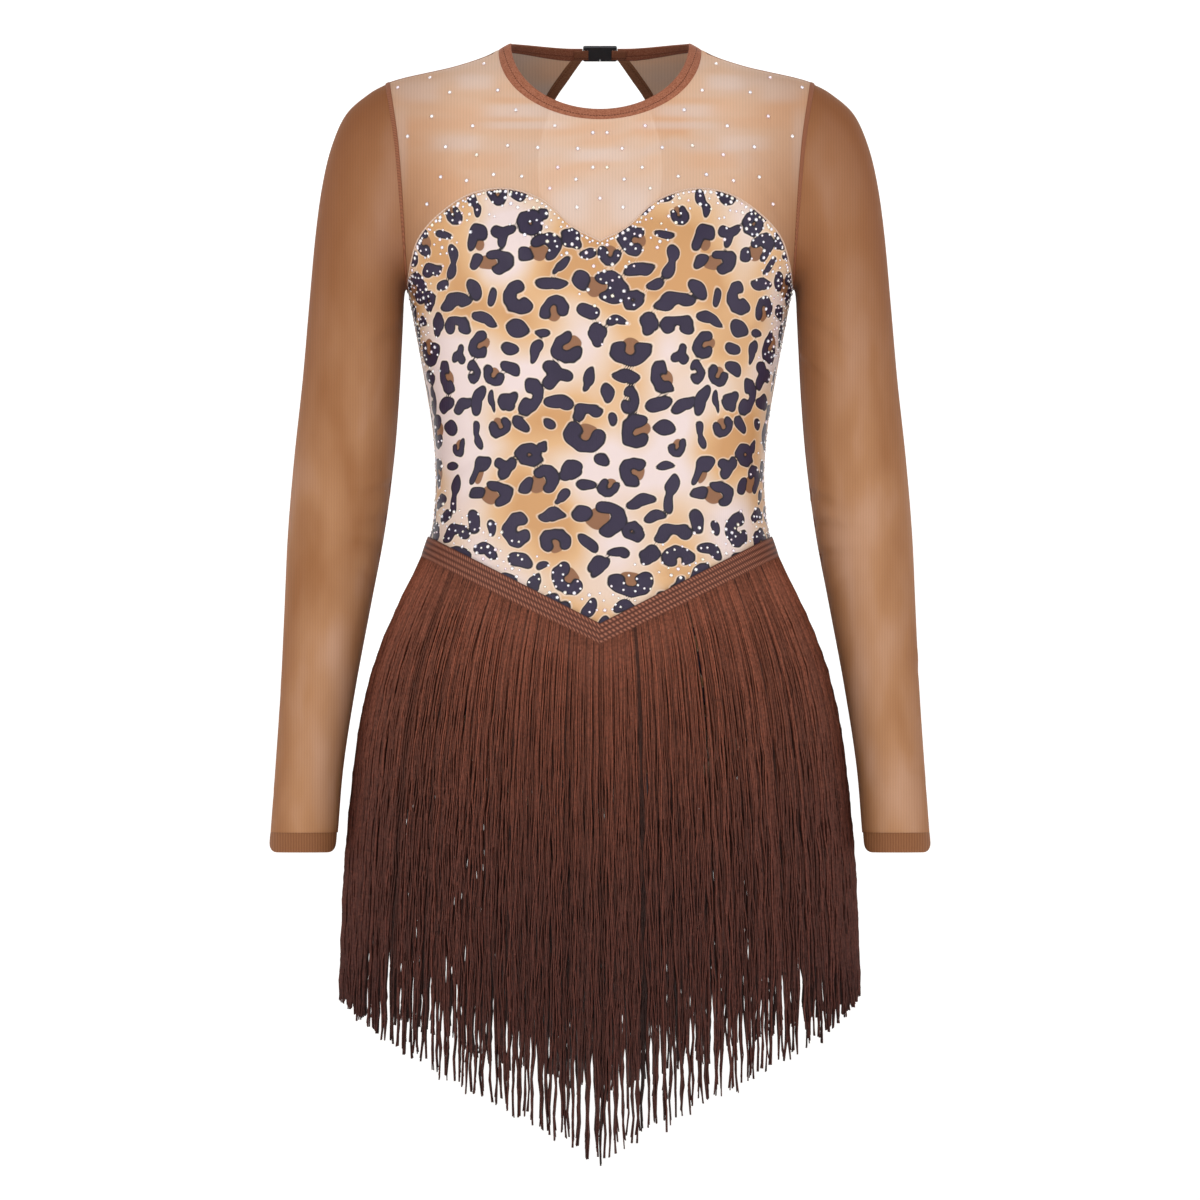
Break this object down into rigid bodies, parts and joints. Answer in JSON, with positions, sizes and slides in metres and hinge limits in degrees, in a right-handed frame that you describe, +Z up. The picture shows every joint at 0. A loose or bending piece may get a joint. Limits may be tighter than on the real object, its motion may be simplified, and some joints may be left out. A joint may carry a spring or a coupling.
{
  "type": "rhinestone fringe bodysuit",
  "caption": "Worn, hollow long-sleeved stage bodysuit: sheer yoke and sleeves, sweetheart bodice, keyhole back with a clasp, and a pointed fringe skirt.",
  "frame": {"origin": "midway between the high points of the two shoulders, where the wearer holds the garment up", "axes": "+Z up, the front faces -Y, +X is the wearer's left"},
  "size_m": [0.5164, 0.2605, 0.8696],
  "materials": {
    "printed_satin": "soft satin sheen, printed",
    "power_mesh": "sheer fine knit mesh",
    "cuff_mesh": "fine knit mesh, turned double",
    "elastic_binding": "matt elastic binding",
    "black_plastic": "smooth moulded plastic",
    "chainette_fringe": "silky twisted yarn",
    "crystal": "faceted flat-back crystal with an iridescent coat"
  },
  "bodies": {
    "root": {"front_bodice": "printed_satin", "back_bodice": "printed_satin", "front_yoke": "power_mesh", "back_yoke": "power_mesh", "sleeve_left": "power_mesh", "sleeve_right": "power_mesh", "cuff_left": "cuff_mesh", "cuff_right": "cuff_mesh", "neck_binding": "elastic_binding", "keyhole_binding": "elastic_binding", "clasp_left": "black_plastic", "clasp_right": "black_plastic", "fringe_front": "chainette_fringe", "fringe_back": "chainette_fringe"}
  },
  "joints": []
}
